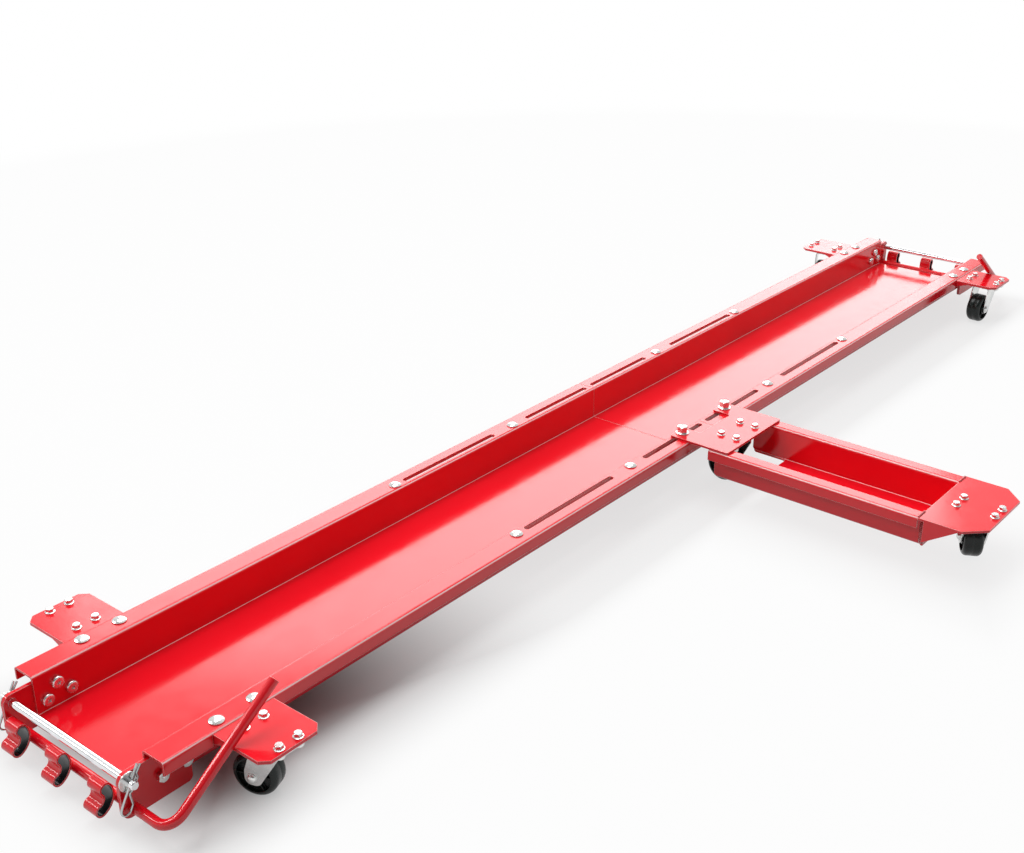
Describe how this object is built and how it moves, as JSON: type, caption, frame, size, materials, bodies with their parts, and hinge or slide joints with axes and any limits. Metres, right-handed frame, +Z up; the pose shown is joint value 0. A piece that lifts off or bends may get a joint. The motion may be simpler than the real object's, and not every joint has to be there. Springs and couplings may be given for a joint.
{
  "type": "motorcycle mover dolly",
  "caption": "Low wheeled dolly: a long folded trough on swivel castors, with a sliding side-stand tray, a lever floor lock and a ramp rod at each end.",
  "frame": {"origin": "on the floor, under the middle of the whole dolly's box", "axes": "+X along the rail, from the front end to the rear end; +Z up; the tray is on the -Y side"},
  "size_m": [2.589, 0.946, 0.1596],
  "materials": {
    "red_paint": "glossy powder coat",
    "zinc": "bright zinc plating",
    "chrome": "polished",
    "wheel": "moulded, glossy",
    "bush": "plain turned steel"
  },
  "bodies": {
    "frame": {"rail_half_front": "red_paint", "rail_half_rear": "red_paint", "splice_angle_left": "red_paint", "splice_angle_right": "red_paint", "splice_bolts": "zinc", "castor_plate_front_left": "red_paint", "castor_plate_front_right": "red_paint", "castor_plate_rear_left": "red_paint", "castor_plate_rear_right": "red_paint", "castor_plate_bolts": "zinc", "end_bracket_front_left": "red_paint", "end_bracket_front_right": "red_paint", "end_bracket_rear_left": "red_paint", "end_bracket_rear_right": "red_paint", "end_bracket_bolts": "zinc", "castor_mount_front_left": "zinc", "castor_mount_front_right": "zinc", "castor_mount_rear_left": "zinc", "castor_mount_rear_right": "zinc", "castor_bolts": "zinc"},
    "tray": {"tray_trough": "red_paint", "tray_inner_plate": "red_paint", "tray_outer_plate": "red_paint", "tray_clamp_bolts": "zinc", "castor_mount_tray_inner": "zinc", "castor_mount_tray_outer": "zinc", "tray_castor_bolts": "zinc"},
    "swivel_front_left": {"castor_fork_front_left": "zinc", "castor_axle_front_left": "zinc", "castor_bush_front_left": "bush"},
    "wheel_front_left": {"castor_wheel_front_left": "wheel"},
    "swivel_front_right": {"castor_fork_front_right": "zinc", "castor_axle_front_right": "zinc", "castor_bush_front_right": "bush"},
    "wheel_front_right": {"castor_wheel_front_right": "wheel"},
    "swivel_rear_left": {"castor_fork_rear_left": "zinc", "castor_axle_rear_left": "zinc", "castor_bush_rear_left": "bush"},
    "wheel_rear_left": {"castor_wheel_rear_left": "wheel"},
    "swivel_rear_right": {"castor_fork_rear_right": "zinc", "castor_axle_rear_right": "zinc", "castor_bush_rear_right": "bush"},
    "wheel_rear_right": {"castor_wheel_rear_right": "wheel"},
    "swivel_tray_inner": {"castor_fork_tray_inner": "zinc", "castor_axle_tray_inner": "zinc", "castor_bush_tray_inner": "bush"},
    "wheel_tray_inner": {"castor_wheel_tray_inner": "wheel"},
    "swivel_tray_outer": {"castor_fork_tray_outer": "zinc", "castor_axle_tray_outer": "zinc", "castor_bush_tray_outer": "bush"},
    "wheel_tray_outer": {"castor_wheel_tray_outer": "wheel"},
    "brake_front": {"brake_bar_front": "red_paint", "brake_feet_front": "red_paint"},
    "rod_front": {"ramp_rod_front": "chrome", "ramp_rod_fasteners_front": "zinc"},
    "brake_rear": {"brake_bar_rear": "red_paint", "brake_feet_rear": "red_paint"},
    "rod_rear": {"ramp_rod_rear": "chrome", "ramp_rod_fasteners_rear": "zinc"}
  },
  "joints": [
    {"name": "tray_slide", "type": "slide", "parent": "frame", "child": "tray", "axis": [1, 0, 0], "range_m": [-0.056, 0.056]},
    {"name": "swivel_front_left", "type": "hinge", "parent": "frame", "child": "swivel_front_left", "pos_m": [-1.109, 0.013, 0.07], "axis": [0, 0, 1], "continuous": true},
    {"name": "spin_front_left", "type": "hinge", "parent": "swivel_front_left", "child": "wheel_front_left", "pos_m": [-1.11652, 0.03367, 0.03175], "axis": [-0.9397, -0.342, 0], "continuous": true},
    {"name": "swivel_front_right", "type": "hinge", "parent": "frame", "child": "swivel_front_right", "pos_m": [-1.109, 0.431, 0.07], "axis": [0, 0, 1], "continuous": true},
    {"name": "spin_front_right", "type": "hinge", "parent": "swivel_front_right", "child": "wheel_front_right", "pos_m": [-1.11652, 0.41033, 0.03175], "axis": [0.9397, -0.342, 0], "continuous": true},
    {"name": "swivel_rear_left", "type": "hinge", "parent": "frame", "child": "swivel_rear_left", "pos_m": [1.109, 0.013, 0.07], "axis": [0, 0, 1], "continuous": true},
    {"name": "spin_rear_left", "type": "hinge", "parent": "swivel_rear_left", "child": "wheel_rear_left", "pos_m": [1.08703, 0.01415, 0.03175], "axis": [-0.0523, -0.9986, 0], "continuous": true},
    {"name": "swivel_rear_right", "type": "hinge", "parent": "frame", "child": "swivel_rear_right", "pos_m": [1.109, 0.431, 0.07], "axis": [0, 0, 1], "continuous": true},
    {"name": "spin_rear_right", "type": "hinge", "parent": "swivel_rear_right", "child": "wheel_rear_right", "pos_m": [1.08833, 0.42348, 0.03175], "axis": [0.342, -0.9397, 0], "continuous": true},
    {"name": "swivel_tray_inner", "type": "hinge", "parent": "tray", "child": "swivel_tray_inner", "pos_m": [0, 0.018, 0.07], "axis": [0, 0, 1], "continuous": true},
    {"name": "spin_tray_inner", "type": "hinge", "parent": "swivel_tray_inner", "child": "wheel_tray_inner", "pos_m": [0.00192, 0.03992, 0.03175], "axis": [-0.9962, 0.0872, 0], "continuous": true},
    {"name": "swivel_tray_outer", "type": "hinge", "parent": "tray", "child": "swivel_tray_outer", "pos_m": [0, -0.43, 0.07], "axis": [0, 0, 1], "continuous": true},
    {"name": "spin_tray_outer", "type": "hinge", "parent": "swivel_tray_outer", "child": "wheel_tray_outer", "pos_m": [0.01905, -0.419, 0.03175], "axis": [-0.5, 0.866, 0], "continuous": true},
    {"name": "brake_front", "type": "hinge", "parent": "frame", "child": "brake_front", "pos_m": [-1.26, 0.222, 0.031], "axis": [0, -1, 0], "range_deg": [0, 109.4]},
    {"name": "rod_front", "type": "hinge", "parent": "frame", "child": "rod_front", "pos_m": [-1.264, 0.222, 0.073], "axis": [0, -1, 0], "range_deg": [-195, 0]},
    {"name": "brake_rear", "type": "hinge", "parent": "frame", "child": "brake_rear", "pos_m": [1.26, 0.222, 0.031], "axis": [0, 1, 0], "range_deg": [0, 109.4]},
    {"name": "rod_rear", "type": "hinge", "parent": "frame", "child": "rod_rear", "pos_m": [1.264, 0.222, 0.073], "axis": [0, 1, 0], "range_deg": [-195, 0]}
  ]
}
